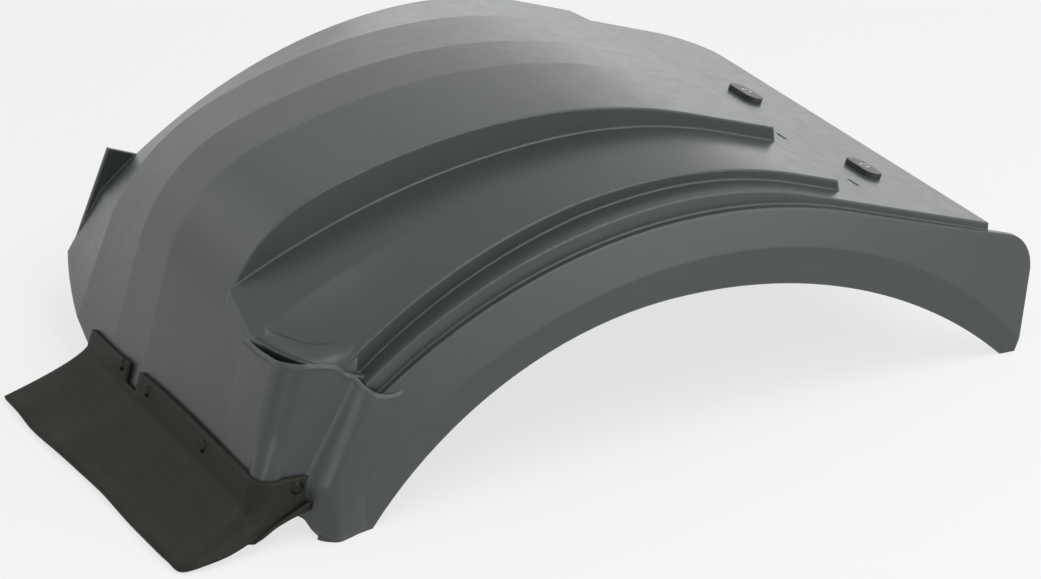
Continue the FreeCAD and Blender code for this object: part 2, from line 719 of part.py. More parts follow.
for i, frame in enumerate(RIVETS, 1):
    head = bound("Part::Cone", "rivet_head_%d" % i, Radius1="sizes.rivet_head_d / 2",
                 Radius2="sizes.rivet_head_d * 0.3", Height="sizes.rivet_head_h", Placement__Base__z="sizes.flap_t")
    shank = cylinder("rivet_shank_%d" % i, "sizes.rivet_d / 2",
                     "sizes.flap_t + sizes.wall + sizes.washer_t + sizes.tail_h / 2 + 1",
                     "-(sizes.wall + sizes.washer_t + sizes.tail_h / 2)")
    tail = cylinder("rivet_tail_%d" % i, "sizes.tail_d / 2", "sizes.tail_h",
                    "-(sizes.wall + sizes.washer_t + sizes.tail_h)")
    keep(fused("flap_rivet_%d" % i, [head, shank, tail]), "flap_rivet_%d" % i, moved(frame))
    disc = cylinder("washer_disc_%d" % i, "sizes.washer_d / 2", "sizes.washer_t",
                    "-(sizes.wall + sizes.washer_t)")
    eye = cylinder("washer_eye_%d" % i, "(sizes.rivet_d + sizes.rivet_play) / 2", "sizes.washer_t + 2",
                   "-(sizes.wall + sizes.washer_t + 1)")
    keep(cut("rivet_washer_%d" % i, disc, eye), "rivet_washer_%d" % i, moved(frame))


def oblong(name, length, width, height, z):
    """A bar with round ends, long along Y, from a box and two cylinders."""
    bar = bound("Part::Box", name + "_bar", Length=width, Width="%s - (%s)" % (length, width), Height=height,
                Placement__Base__x="-(%s) / 2" % width, Placement__Base__y="-(%s - (%s)) / 2" % (length, width),
                Placement__Base__z=z)
    ends = []
    for sign, tag in (("", "b"), ("-", "a")):
        end = cylinder(name + "_end_" + tag, "(%s) / 2" % width, height, z)
        end.setExpression("Placement.Base.y", "%s(%s - (%s)) / 2" % (sign, length, width))
        ends.append(end)
    return fused(name, [bar] + ends)


for i, y in enumerate(FIXES, 1):
    tag = "grommet_%d_" % i
    long, wide, neck = "sizes.grommet_len", "sizes.grommet_wid", "sizes.grommet_neck"
    head = oblong(tag + "head", long, wide, "sizes.grommet_head_h", "0")
    body = oblong(tag + "neck", long + " - " + neck, wide + " - " + neck, "sizes.wall + 2",
                  "-(sizes.wall + 1)")
    foot = oblong(tag + "lip", long + " - 2", wide + " - 2", "sizes.grommet_lip_h",
                  "-(sizes.wall + sizes.grommet_lip_h)")
    rubber = fused(tag + "rubber", [head, body, foot])
    bore = cylinder(tag + "bore", "sizes.sleeve_od / 2",
                    "sizes.grommet_head_h + sizes.wall + sizes.grommet_lip_h + 2",
                    "-(sizes.wall + sizes.grommet_lip_h + 1)")
    keep(cut("flange_grommet_%d" % i, rubber, bore), "flange_grommet_%d" % i, moved(flange_frame(y)))
    tube = cylinder("sleeve_tube_%d" % i, "sizes.sleeve_od / 2",
                    "sizes.grommet_head_h + sizes.wall + sizes.grommet_lip_h + 2 * sizes.sleeve_proud",
                    "-(sizes.wall + sizes.grommet_lip_h + sizes.sleeve_proud)")
    hole = cylinder("sleeve_hole_%d" % i, "sizes.sleeve_bore / 2",
                    "sizes.grommet_head_h + sizes.wall + sizes.grommet_lip_h + 4",
                    "-(sizes.wall + sizes.grommet_lip_h + 2)")
    keep(cut("grommet_sleeve_%d" % i, tube, hole), "grommet_sleeve_%d" % i, moved(flange_frame(y)))

doc.recompute()
os.makedirs("parts", exist_ok=True)
for obj in doc.Objects:
    if "Invalid" in obj.State or "Error" in obj.State:
        raise RuntimeError("%s did not build" % obj.Name)
for obj in PARTS:
    shape = obj.Shape
    if shape.isNull() or not shape.isValid() or shape.Volume <= 0:
        raise RuntimeError("%s has no valid shape" % obj.Label)
    if len(shape.Solids) != 1:
        raise RuntimeError("%s has %d solids" % (obj.Label, len(shape.Solids)))
    shape.exportStep("parts/%s.step" % obj.Label)
    b = shape.BoundBox
    print("%s volume %.0f  x %.1f %.1f  y %.1f %.1f  z %.1f %.1f" % (
        obj.Label, shape.Volume, b.XMin, b.XMax, b.YMin, b.YMax, b.ZMin, b.ZMax))
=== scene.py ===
"""Looks for a truck mudguard: moulded shell, riveted rubber flap, bushed fixings and a pale studio."""
import math

import bmesh
import bpy
from mathutils import Euler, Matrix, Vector


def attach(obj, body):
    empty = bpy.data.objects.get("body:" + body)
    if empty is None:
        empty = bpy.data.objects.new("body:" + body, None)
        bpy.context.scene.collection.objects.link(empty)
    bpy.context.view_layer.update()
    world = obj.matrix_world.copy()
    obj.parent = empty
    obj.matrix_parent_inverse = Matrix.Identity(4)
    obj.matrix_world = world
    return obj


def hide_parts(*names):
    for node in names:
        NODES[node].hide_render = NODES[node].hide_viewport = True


bl_info = {
    "name": "Truck mudguard finishes",
    "version": (1, 0, 0),
    "blender": (4, 5, 0),
    "location": "3D View > Sidebar > Mudguard",
    "description": "Moulded shell, rubber flap, fixings and studio for a truck mudguard",
    "category": "Object",
}

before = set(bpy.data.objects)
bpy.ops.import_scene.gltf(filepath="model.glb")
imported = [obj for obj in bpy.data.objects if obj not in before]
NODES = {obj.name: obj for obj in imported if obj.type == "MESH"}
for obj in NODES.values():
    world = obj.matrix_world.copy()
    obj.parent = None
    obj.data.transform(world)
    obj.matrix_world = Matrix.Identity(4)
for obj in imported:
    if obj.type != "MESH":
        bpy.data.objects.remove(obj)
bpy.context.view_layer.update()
MM = 0.001
WHITE = (1.0, 1.0, 1.0, 1.0)
# The camera's focal length was fitted in pixels, on a picture this many pixels wide.
FOCAL_PX, PICTURE_PX = 3550.0, 1041.0
SENSOR_MM = 36.0


def linear(code):
    """An sRGB hex colour as linear RGBA."""
    out = []
    for i in (1, 3, 5):
        c = int(code[i:i + 2], 16) / 255.0
        out.append(c / 12.92 if c <= 0.04045 else ((c + 0.055) / 1.055) ** 2.4)
    return out + [1.0]


def add(tree, kind, values=None, links=None):
    """Adds a node; values go to its attributes first and then to its sockets, links join sockets to it."""
    node = tree.nodes.new(kind)
    for key, value in (values or {}).items():
        if isinstance(key, str) and hasattr(node, key):
            setattr(node, key, value)
    for key, value in (values or {}).items():
        if isinstance(key, int) or not hasattr(node, key):
            node.inputs[key].default_value = value
    for key, source in (links or {}).items():
        tree.links.new(source, node.inputs[key])
    return node


def new_material(name):
    """An empty node material with its output and the object's own coordinates."""
    material = bpy.data.materials.new(name)
    material.use_nodes = True
    tree = material.node_tree
    tree.nodes.clear()
    where = add(tree, "ShaderNodeTexCoord")
    return material, tree, where.outputs["Object"]


def per_metre(size_mm):
    """Texture scale for a pattern whose features are this many millimetres apart."""
    return 1.0 / (size_mm * MM)


def colour_prop(name, description, code):
    """A colour setting."""
    return bpy.props.FloatVectorProperty(name=name, description=description, subtype="COLOR", size=4,
                                         min=0.0, max=1.0, default=linear(code))


def share_prop(name, description, value):
    """A setting from 0 to 1."""
    return bpy.props.FloatProperty(name=name, description=description, subtype="FACTOR",
                                   min=0.0, max=1.0, default=value)


def power_prop(name, description, value):
    """A lamp's power in watts."""
    return bpy.props.FloatProperty(name=name, description=description, unit="POWER",
                                   default=value, min=0.0)


class MudguardShellFinish(bpy.types.PropertyGroup):
    """Moulded shell."""
    body: colour_prop("Body", "Colour of the moulded plastic", "#383d3d")
    cloud: colour_prop("Cloud", "Colour where the moulding cooled slower", "#3d4242")
    # The edge colour is a painted highlight for the rounded edges.
    edge: colour_prop("Edge", "Colour of the rubbed edges", "#6d7271")
    roughness: share_prop("Roughness", "Gloss of the moulded skin", 0.34)
    grain_mm: bpy.props.FloatProperty(name="Grain (mm)", description="Spacing of the moulded grain",
                                      default=2.2, min=0.2, max=20.0)
    round_mm: bpy.props.FloatProperty(name="Edge round (mm)", description="Round on the moulded edges",
                                      default=3.6, min=0.2, max=6.0)


class MudguardRubberFinish(bpy.types.PropertyGroup):
    """Flap and bushes."""
    flap: colour_prop("Flap", "Colour of the flap", "#201f1b")
    flap_worn: colour_prop("Flap, worn", "Colour of the flap's rubbed streaks", "#2c2b24")
    bush: colour_prop("Bush", "Colour of the bushes", "#26282a")
    streak_mm: bpy.props.FloatProperty(name="Streak (mm)", description="Spacing of the calender streaks",
                                       default=6.0, min=0.5, max=50.0)


class MudguardMetalFinish(bpy.types.PropertyGroup):
    """Rivets, washers and sleeves."""
    rivet: colour_prop("Rivet", "Colour of the rivets", "#2f2f2d")
    plated: colour_prop("Plating", "Colour of the plated steel", "#b4b5b0")


class MudguardStage(bpy.types.PropertyGroup):
    """Floor, light and camera."""
    floor: colour_prop("Floor", "Colour of the floor", "#eeeeee")
    sky: bpy.props.FloatProperty(name="Sky", description="Strength of the even light",
                                 default=0.36, min=0.0)
    key: power_prop("Key", "Large soft lamp over the side wall", 48.0)
    side: power_prop("Side", "Soft lamp behind the crown", 6.0)
    front: power_prop("Front", "Low lamp in front of the side wall", 25.0)
    back: power_prop("Back", "Low lamp beyond the flange", 6.5)
    corner: power_prop("Corner", "Tall narrow lamp by the rear corner", 6.0)
    azimuth: bpy.props.FloatProperty(name="Azimuth", description="Camera turn from straight on",
                                     subtype="ANGLE", default=math.radians(-29.6))
    elevation: bpy.props.FloatProperty(name="Elevation", description="Camera height angle",
                                       subtype="ANGLE", default=math.radians(26.5))
    away: bpy.props.FloatProperty(name="Away", description="Camera distance from its target", unit="LENGTH",
                                  default=4.0)
    target: bpy.props.FloatVectorProperty(name="Target", description="Point the camera looks at",
                                          subtype="TRANSLATION", default=(0.0758, 0.0550, 0.0243))
    lens: bpy.props.FloatProperty(name="Lens", description="Focal length in mm on a 36 mm wide sensor",
                                  default=SENSOR_MM * FOCAL_PX / PICTURE_PX)


class MudguardSettings(bpy.types.PropertyGroup):
    """All the settings of the part."""
    shell: bpy.props.PointerProperty(type=MudguardShellFinish, name="Shell",
                                     description="Moulded shell")
    rubber: bpy.props.PointerProperty(type=MudguardRubberFinish, name="Rubber",
                                      description="Flap and bushes")
    metal: bpy.props.PointerProperty(type=MudguardMetalFinish, name="Metal",
                                     description="Rivets and sleeves")
    stage: bpy.props.PointerProperty(type=MudguardStage, name="Stage",
                                     description="Floor, light, camera")


def settings(context):
    """The part's settings in the scene."""
    return context.scene.mudguard


def dress(material, names):
    """Gives CAD nodes a material."""
    for name in names:
        slots = NODES[name].data.materials
        slots.clear()
        slots.append(material)


def smooth_line(points, t):
    """A point on the smooth line through the points; t runs from 0 at the first to 1 at the last."""
    last = len(points) - 1
    along = min(max(t, 0.0), 1.0) * last
    i = min(int(along), last - 1)
    f = along - i
    a, b, c, d = (Vector(points[min(max(k, 0), last)]) for k in (i - 1, i, i + 1, i + 2))
    return b + 0.5 * f * ((c - a) + f * ((2 * a - 5 * b + 4 * c - d) + f * (3 * (b - c) + d - a)))


# Edges that turn more than this are drawn sharp.
SHARP_TURN = math.radians(42)


def draped(context, name, columns, rows, place, thickness, left_out=None):
    """A sheet from a grid, in mm: place(u, v) is a point of its outer face, and the thickness goes inwards.
    Faces whose middle is left_out are taken away."""
    bm = bmesh.new()
    bmesh.ops.create_grid(bm, x_segments=columns, y_segments=rows, size=0.5)
    for vert in bm.verts:
        vert.co = Vector(place(vert.co.x + 0.5, vert.co.y + 0.5)) * MM
    if left_out:
        gone = [face for face in bm.faces if left_out(face.calc_center_median() / MM)]
        bmesh.ops.delete(bm, geom=gone, context="FACES")
    for face in bm.faces:
        face.smooth = True
    bm.normal_update()
    mesh = bpy.data.meshes.new(name)
    bm.to_mesh(mesh)
    bm.free()
    mesh.set_sharp_from_angle(angle=SHARP_TURN)
    piece = bpy.data.objects.new(name, mesh)
    wall = piece.modifiers.new("wall", "SOLIDIFY")
    wall.thickness = thickness * MM
    wall.offset = -1.0
    context.scene.collection.objects.link(piece)
    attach(piece, "root")
    return piece


# All lengths below are in mm. The rear panel leans, and its return is RETURN_Y out from the middle.
PANEL_FOOT, PANEL_LEAN = -428.8, 0.2867
RETURN_Y = -277.0
CORNER_R = 28.0
# The corner's skin lies this far out from the panel's solid.
PANEL_PROUD = 1.0
# Below SQUARE_FROM the corner grows squarer, in full SQUARE_OVER lower.
SQUARE_BY, SQUARE_FROM, SQUARE_OVER = 7.0, 112.0, 37.0
# The side wall is widest along a circle round the axle and falls in above and below it.
WIDEST_Y, AXLE_X, AXLE_Z, CREASE_R = -306.0, 77.8, -344.0, 557.0
SLOPE_ABOVE, SLOPE_BELOW, CREASE_SOFT = 0.2, 0.16, 5.0
# The valley between the return and the side wall, which bends at VALLEY_BREAK above the floor.
VALLEY_X, VALLEY_BREAK, VALLEY_ABOVE, VALLEY_BELOW = -365.0, 60.0, 0.556, 0.1
# Plan of the corner. The first points lie on the panel: X from its face, and Y.
PANEL_POINTS = ((1.7, -165.0), (0.6, -190.0), (0.0, -215.0), (0.0, -236.0))
CORNER_TURNS = (0.0, 22.5, 45.0, 67.5, 90.0)
# The side wall's end swings out from the return: X from the valley, and the share of its depth.
SIDE_SHARES = ((4.0, 0.24), (11.0, 0.7), (21.0, 1.03), (34.0, 1.04), (50.0, 0.99))
SIDE_PROUD = 0.8
# The last point is sunk into the side wall.
SIDE_END, SIDE_SUNK = 66.0, 3.0
# Lower and upper edge of the corner above the floor, at the points of its plan.
CORNER_EDGES = ((50, 184), (50, 185.5), (50, 186), (50, 188), (50, 189.5), (50, 191), (50, 191.5),
                (50, 191), (48, 190), (40, 183), (26, 172), (19, 169), (7, 166), (0.4, 160), (0.2, 154),
                (0.6, 149), (2, 147), (4, 150))
CORNER_SPANS = len(CORNER_EDGES) - 1
# Rows of the corner's wall, then for each row of its lip how far it goes in and down.
WALL_ROWS = 24
LIP_ROWS = ((0.9, -0.5), (2.2, 0.2), (3.2, 5.0))
CORNER_ROWS = WALL_ROWS + len(LIP_ROWS)


def panel_x(z):
    """The corner piece's face on the rear panel at a height."""
    return PANEL_FOOT + PANEL_LEAN * z - PANEL_PROUD


def corner_point(z, angle, out):
    """A point of the rear corner at a height, out from its face."""
    square = SQUARE_BY * min(max((SQUARE_FROM - z) / SQUARE_OVER, 0.0), 1.0)
    turn = math.radians(angle)
    radius = CORNER_R + out + square * math.sin(2.0 * turn)
    x = panel_x(z) + CORNER_R
    return x - radius * math.cos(turn), RETURN_Y + CORNER_R - radius * math.sin(turn)


def side_y(x, z):
    """The side wall's outer face."""
    off = math.hypot(x - AXLE_X, z - AXLE_Z) - CREASE_R
    slope = SLOPE_ABOVE if off > 0.0 else SLOPE_BELOW
    return WIDEST_Y + slope * (math.hypot(off, CREASE_SOFT) - CREASE_SOFT)


def corner_plan(u, z):
    """Plan of the rear corner: the panel, its corner, its return and the rounded end of the side wall."""
    face = panel_x(z)
    above = max(z - VALLEY_BREAK, 0.0)
    below = max(VALLEY_BREAK - z, 0.0)
    valley = VALLEY_X + VALLEY_ABOVE * above + VALLEY_BELOW * below
    points = [(face + x, y) for x, y in PANEL_POINTS]
    points += [corner_point(z, angle, 0.0) for angle in CORNER_TURNS]
    points.append((0.5 * (face + CORNER_R + valley), RETURN_Y))
    points.append((valley - 8.0, RETURN_Y))
    points.append((valley - 1.0, RETURN_Y - 0.8))
    for along, share in SIDE_SHARES:
        x = valley + along
        points.append((x, RETURN_Y + (side_y(x, z) - SIDE_PROUD - RETURN_Y) * share))
    points.append((valley + SIDE_END, side_y(valley + SIDE_END, z) + SIDE_SUNK))
    return smooth_line(points, u)


def corner_inward(u, z):
    """Level direction into the corner from its outer face."""
    step = corner_plan(u + 0.01, z) - corner_plan(u - 0.01, z)
    return Vector((-step.y, step.x)).normalized()


def corner_face(u, v):
    """The corner's outer face up to its lip, then the lip turned in and down."""
    low, high = smooth_line(CORNER_EDGES, u)
    row = round(v * CORNER_ROWS)
    z = low + (high - low) * min(row / WALL_ROWS, 1.0)
    inward, fall = LIP_ROWS[row - WALL_ROWS - 1] if row > WALL_ROWS else (0.0, 0.0)
    place = corner_plan(u, z) + corner_inward(u, z) * inward
    return place.x, place.y, z - fall


# Where the end of the scoop's floor starts to roll over, and the top of the pocket's wall below the roll.
SCOOP_FLOOR = ((-367, -172), (-358, -196), (-342, -212), (-328, -226), (-312, -238), (-298, -246),
               (-284, -252))
POCKET_TOP = ((-374, -178, 194), (-371.5, -210, 190), (-361, -240, 185.5), (-349, -252, 181.5),
              (-331, -260.7, 178), (-312, -264.5, 177), (-295, -266.5, 180))
POCKET_FOOT = 148.0
# The pocket runs along the corner's plan from POCKET_FROM, counted in its points, for POCKET_SPAN of them.
POCKET_FROM, POCKET_SPAN, LIP_Z = 0.9, 9.3, 180.0
# The scoop's floor is looked for from this height, and the piece starts a little below it.
LOOK_FROM, FLOOR_SUNK = 500.0, 0.4


def scoop_floor(u):
    """A point of the scoop's floor, found from above."""
    x, y = smooth_line(SCOOP_FLOOR, u)
    start = Vector((x, y, LOOK_FROM)) * MM
    found, place, _normal, _face = NODES["mudguard_shell"].ray_cast(start, Vector((0, 0, -1)))
    if not found:
        raise RuntimeError("the scoop's floor isn't where it is looked for")
    return place / MM - Vector((0.0, 0.0, FLOOR_SUNK))


def pocket_face(u, v):
    """The end of the scoop's floor, which rolls over and drops into the pocket behind the lip."""
    floor = scoop_floor(u)
    edge = smooth_line(POCKET_TOP, u)
    inward = corner_inward((POCKET_FROM + POCKET_SPAN * u) / CORNER_SPANS, LIP_Z)
    out = Vector((-inward.x, -inward.y, 0.0))
    slope = floor.lerp(edge, 0.4) - Vector((0.0, 0.0, 1.0))
    roll = edge + out * 5.0 + Vector((0.0, 0.0, 6.0))
    low = Vector((edge.x, edge.y, POCKET_FOOT)) + out * 4.0
    w = 1.0 - v
    return floor * w ** 3 + slope * (3.0 * w * w * v) + roll * (3.0 * w * v * v) + low * v ** 3


# The flap's stations from its inner end to the corner: Y, the panel's X at BAND_Z, the panel's lean.
BAND_Z = 50.0
FLAP_STRAIGHT = ((138, -407.6, 0.364), (100, -410.6, 0.324), (62, -412.7, 0.308), (29, -413.7, 0.296),
                 (2, -414.5, 0.288), (-50, -414.5, PANEL_LEAN), (-110, -414.5, PANEL_LEAN),
                 (-170, -414.5, PANEL_LEAN), (-222, -414.5, PANEL_LEAN))
FLAP_TURNS = (0.0, 30.0, 60.0, 90.0)
# How far the flap's outer face stands off the panel, the corner and the return.
OFF_PANEL, OFF_CORNER, OFF_RETURN = 5.2, 4.2, 4.1
# The band's top edge and the sheet's free edge at the stations.
FLAP_TOPS = (60, 63, 66, 69, 71, 74, 75, 75, 75, 75, 75, 73.5, 72, 71, 70)
FLAP_TIPS = ((-515, 137, 6.5), (-516, 100, 8.5), (-516.5, 63, 6), (-515.5, 30, 7), (-514, 0, 8.5),
             (-509, -52, 6), (-507.4, -105, 7.5), (-507.4, -165, 6), (-507, -222, 7), (-505, -256, 6),
             (-500, -285, 6), (-462, -291, 8), (-428, -287.5, 15), (-398, -284, 28), (-358, -283.5, 44))
# The band ends at the bend, after this share of the sheet's rows; the knee pulls the bend round.
BEND_Z, KNEE_Z, BAND_SHARE = 41.0, 27.0, 0.4
# The notch in the band, in Y and from its foot up.
NOTCH_FROM, NOTCH_TO, NOTCH_FOOT = 2.0, 29.0, 47.0


def flap_band(s, z):
    """The flap's outer face where it lies on the panel, round the corner and on the return."""
    points = [(x + lean * (z - BAND_Z) - OFF_PANEL, y) for y, x, lean in FLAP_STRAIGHT]
    points += [corner_point(z, angle, OFF_CORNER) for angle in FLAP_TURNS]
    points.append((-380.0 + PANEL_LEAN * (z - BAND_Z), RETURN_Y - OFF_RETURN))
    points.append((-357.0, RETURN_Y - OFF_RETURN))
    return smooth_line(points, s)


def flap_face(u, v):
    """The flap's outer face: the riveted band, a soft bend and the sheet splayed to the floor."""
    top = smooth_line([(high, 0.0) for high in FLAP_TOPS], u).x
    if v <= BAND_SHARE:
        z = top + (BEND_Z - top) * v / BAND_SHARE
        place = flap_band(u, z)
        return place.x, place.y, z
    t = (v - BAND_SHARE) / (1.0 - BAND_SHARE)
    tip = smooth_line(FLAP_TIPS, u)
    first = flap_band(u, BEND_Z).to_3d() + Vector((0.0, 0.0, BEND_Z))
    knee = flap_band(u, KNEE_Z).to_3d() + Vector((0.0, 0.0, KNEE_Z))
    knee = knee.lerp(tip, 0.12)
    place = first * (1.0 - t) ** 2 + knee * (2.0 * t * (1.0 - t)) + tip * t * t
    # The sheet is never quite flat.
    place.z += 2.2 * math.sin(17.0 * u + 2.0) * t * (1.0 - t)
    return place


def in_notch(at):
    """Whether a point of the flap is in its notch."""
    return NOTCH_FROM < at.y < NOTCH_TO and at.z > NOTCH_FOOT


def rounded(tree, radius_mm):
    """A normal that rounds the edges, and a mask that is 1 on them."""
    soft = add(tree, "ShaderNodeBevel", {"samples": 6, "Radius": radius_mm * MM})
    shape = add(tree, "ShaderNodeNewGeometry")
    same = add(tree, "ShaderNodeVectorMath", {"operation": "DOT_PRODUCT"},
               {0: soft.outputs["Normal"], 1: shape.outputs["Normal"]})
    mask = add(tree, "ShaderNodeMapRange",
               {"From Min": 0.99, "From Max": 0.80, "To Min": 0.0, "To Max": 1.0},
               {"Value": same.outputs["Value"]})
    return soft.outputs["Normal"], mask.outputs["Result"]


def moulded_polyethylene(finish):
    """Rotation-moulded polyethylene: a satin skin with a fine grain, faint clouds where it cooled slower,
    and rounded edges that catch the light, with a painted highlight that makes them paler."""
    material, tree, where = new_material("moulded_polyethylene")
    normal, edge = rounded(tree, finish.round_mm)
    # Clouds about 140 mm across, and smaller mottling of 18 mm.
    cloud = add(tree, "ShaderNodeTexNoise", {"Scale": per_metre(140), "Detail": 3.0, "Roughness": 0.55},
                {"Vector": where})
    mottle = add(tree, "ShaderNodeTexNoise", {"Scale": per_metre(18), "Detail": 4.0, "Roughness": 0.6},
                 {"Vector": where})
    both = add(tree, "ShaderNodeMath", {"operation": "MULTIPLY_ADD", 1: 0.35},
               {0: mottle.outputs["Fac"], 2: cloud.outputs["Fac"]})
    spread = add(tree, "ShaderNodeMapRange", {"From Min": 0.45, "From Max": 0.92},
                 {"Value": both.outputs[0]})
    skin = add(tree, "ShaderNodeMix", {"data_type": "RGBA", 6: finish.body, 7: finish.cloud},
               {0: spread.outputs["Result"]})
    # The painted highlight on the rounded edges is broken up by the mottling.
    painted_highlight = add(tree, "ShaderNodeMath", {"operation": "MULTIPLY"}, {0: edge, 1: mottle.outputs["Fac"]})
    colour = add(tree, "ShaderNodeMix", {"data_type": "RGBA", 7: finish.edge},
                 {0: painted_highlight.outputs[0], 6: skin.outputs[2]})
    # The real grain is near 0.5 mm; it is drawn coarser so that it shows.
    grain = add(tree, "ShaderNodeTexNoise", {"Scale": per_metre(finish.grain_mm), "Detail": 2.0},
                {"Vector": where})
    gloss = add(tree, "ShaderNodeMapRange",
                {"To Min": finish.roughness - 0.05, "To Max": finish.roughness + 0.07},
                {"Value": mottle.outputs["Fac"]})
    bump = add(tree, "ShaderNodeBump", {"Strength": 0.12, "Distance": 0.4 * MM},
               {"Height": grain.outputs["Fac"], "Normal": normal})
    shader = add(tree, "ShaderNodeBsdfPrincipled", {"IOR": 1.51},
                 {"Base Color": colour.outputs[2], "Roughness": gloss.outputs["Result"],
                  "Normal": bump.outputs["Normal"]})
    add(tree, "ShaderNodeOutputMaterial", None, {"Surface": shader.outputs["BSDF"]})
    return material


def calendered_rubber(finish):
    """Calendered sheet rubber: dull olive black, faint paler streaks along the sheet, and a painted
    highlight on its edges.
    """
    material, tree, where = new_material("calendered_sheet_rubber")
    normal, edge = rounded(tree, 1.6)
    # Streaks run across the guard, so they are long in Y.
    long = add(tree, "ShaderNodeMapping", {"Scale": (1.0, 0.12, 1.0)}, {"Vector": where})
    streak = add(tree, "ShaderNodeTexNoise", {"Scale": per_metre(finish.streak_mm), "Detail": 4.0},
                 {"Vector": long.outputs["Vector"]})
    cloud = add(tree, "ShaderNodeTexNoise", {"Scale": per_metre(60), "Detail": 4.0}, {"Vector": where})
    both = add(tree, "ShaderNodeMath", {"operation": "MULTIPLY"},
               {0: streak.outputs["Fac"], 1: cloud.outputs["Fac"]})
    spread = add(tree, "ShaderNodeMapRange", {"From Min": 0.12, "From Max": 0.42},
                 {"Value": both.outputs[0]})
    skin = add(tree, "ShaderNodeMix", {"data_type": "RGBA", 6: finish.flap, 7: finish.flap_worn},
               {0: spread.outputs["Result"]})
    # A painted highlight makes the flap's edges paler.
    painted_highlight = add(tree, "ShaderNodeMath", {"operation": "MULTIPLY", 1: 0.6}, {0: edge})
    colour = add(tree, "ShaderNodeMix", {"data_type": "RGBA", 7: linear("#3d3b35")},
                 {0: painted_highlight.outputs[0], 6: skin.outputs[2]})
    # The sheet's pebbled skin, near 1.5 mm.
    pebble = add(tree, "ShaderNodeTexNoise", {"Scale": per_metre(1.5), "Detail": 2.0}, {"Vector": where})
    bump = add(tree, "ShaderNodeBump", {"Strength": 0.2, "Distance": 0.4 * MM},
               {"Height": pebble.outputs["Fac"], "Normal": normal})
    gloss = add(tree, "ShaderNodeMapRange", {"To Min": 0.55, "To Max": 0.75},
                {"Value": cloud.outputs["Fac"]})
    shader = add(tree, "ShaderNodeBsdfPrincipled", {"IOR": 1.52, "Specular IOR Level": 0.22},
                 {"Base Color": colour.outputs[2], "Roughness": gloss.outputs["Result"],
                  "Normal": bump.outputs["Normal"]})
    add(tree, "ShaderNodeOutputMaterial", None, {"Surface": shader.outputs["BSDF"]})
    return material


def moulded_rubber(finish):
    """Press-moulded rubber: near black, smoother than the flap, with a dusty bloom."""
    material, tree, where = new_material("press_moulded_rubber")
    normal, _edge = rounded(tree, 1.2)
    bloom = add(tree, "ShaderNodeTexNoise", {"Scale": per_metre(9), "Detail": 3.0}, {"Vector": where})
    colour = add(tree, "ShaderNodeMix", {"data_type": "RGBA", 6: finish.bush, 7: linear("#34373a")},
                 {0: bloom.outputs["Fac"]})
    bump = add(tree, "ShaderNodeBump", {"Strength": 0.1, "Distance": 0.2 * MM},
               {"Height": bloom.outputs["Fac"], "Normal": normal})
    shader = add(tree, "ShaderNodeBsdfPrincipled", {"IOR": 1.52, "Roughness": 0.48},
                 {"Base Color": colour.outputs[2], "Normal": bump.outputs["Normal"]})
    add(tree, "ShaderNodeOutputMaterial", None, {"Surface": shader.outputs["BSDF"]})
    return material


def metal_skin(name, colour, stain, roughness, spot_mm):
    """A dull metal with small stains; the name says which metal it is."""
    material, tree, where = new_material(name)
    normal, _edge = rounded(tree, 0.5)
    spots = add(tree, "ShaderNodeTexNoise", {"Scale": per_metre(spot_mm), "Detail": 4.0},
                {"Vector": where})
    spread = add(tree, "ShaderNodeMapRange", {"From Min": 0.42, "From Max": 0.66},
                 {"Value": spots.outputs["Fac"]})
    skin = add(tree, "ShaderNodeMix", {"data_type": "RGBA", 6: colour, 7: stain},
               {0: spread.outputs["Result"]})
    gloss = add(tree, "ShaderNodeMapRange", {"To Min": roughness - 0.08, "To Max": roughness + 0.12},
                {"Value": spots.outputs["Fac"]})
    shader = add(tree, "ShaderNodeBsdfPrincipled", {"Metallic": 1.0},
                 {"Base Color": skin.outputs[2], "Roughness": gloss.outputs["Result"], "Normal": normal})
    add(tree, "ShaderNodeOutputMaterial", None, {"Surface": shader.outputs["BSDF"]})
    return material


class MUDGUARD_OT_shell(bpy.types.Operator):
    """Gives the moulded shell its skin"""
    bl_idname = "mudguard.shell"
    bl_label = "Moulded shell"

    def execute(self, context):
        dress(moulded_polyethylene(settings(context).shell), ["mudguard_shell"])
        return {"FINISHED"}


class MUDGUARD_OT_corner(bpy.types.Operator):
    """Models the rounded rear corner with its lip, and the pocket at the end of the scoop"""
    bl_idname = "mudguard.corner"
    bl_label = "Rear corner"

    def execute(self, context):
        skin = bpy.data.materials["moulded_polyethylene"]
        corner = draped(context, "rear_corner", 8 * CORNER_SPANS, CORNER_ROWS, corner_face, 4.0)
        pocket = draped(context, "scoop_end", 60, 20, lambda u, v: pocket_face(u, 1.0 - v), 5.0)
        for piece in (corner, pocket):
            piece.data.materials.append(skin)
        return {"FINISHED"}


class MUDGUARD_OT_flap(bpy.types.Operator):
    """Models the rubber flap: riveted band, notch, soft bend and splayed sheet"""
    bl_idname = "mudguard.flap"
    bl_label = "Rubber flap"

    def execute(self, context):
        columns = 6 * (len(FLAP_TOPS) - 1)
        flap = draped(context, "flap_sheet", columns, 20, lambda u, v: flap_face(u, 1.0 - v), 4.6, in_notch)
        flap.data.materials.append(calendered_rubber(settings(context).rubber))
        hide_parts("rubber_flap")
        return {"FINISHED"}


class MUDGUARD_OT_rivets(bpy.types.Operator):
    """Gives the flap's rivets and their washers their metals"""
    bl_idname = "mudguard.rivets"
    bl_label = "Rivets and washers"

    def execute(self, context):
        metal = settings(context).metal
        # Drawn aluminium, greyed by weather.
        rivet = metal_skin("weathered_aluminium", metal.rivet, linear("#232322"), 0.5, 3.0)
        dress(rivet, [n for n in NODES if n.startswith("flap_rivet")])
        # Zinc-plated steel, pale with a faint mottling.
        plated = metal_skin("zinc_plated_steel", metal.plated, linear("#8f9089"), 0.34, 4.0)
        dress(plated, [n for n in NODES if n.startswith("rivet_washer")])
        return {"FINISHED"}


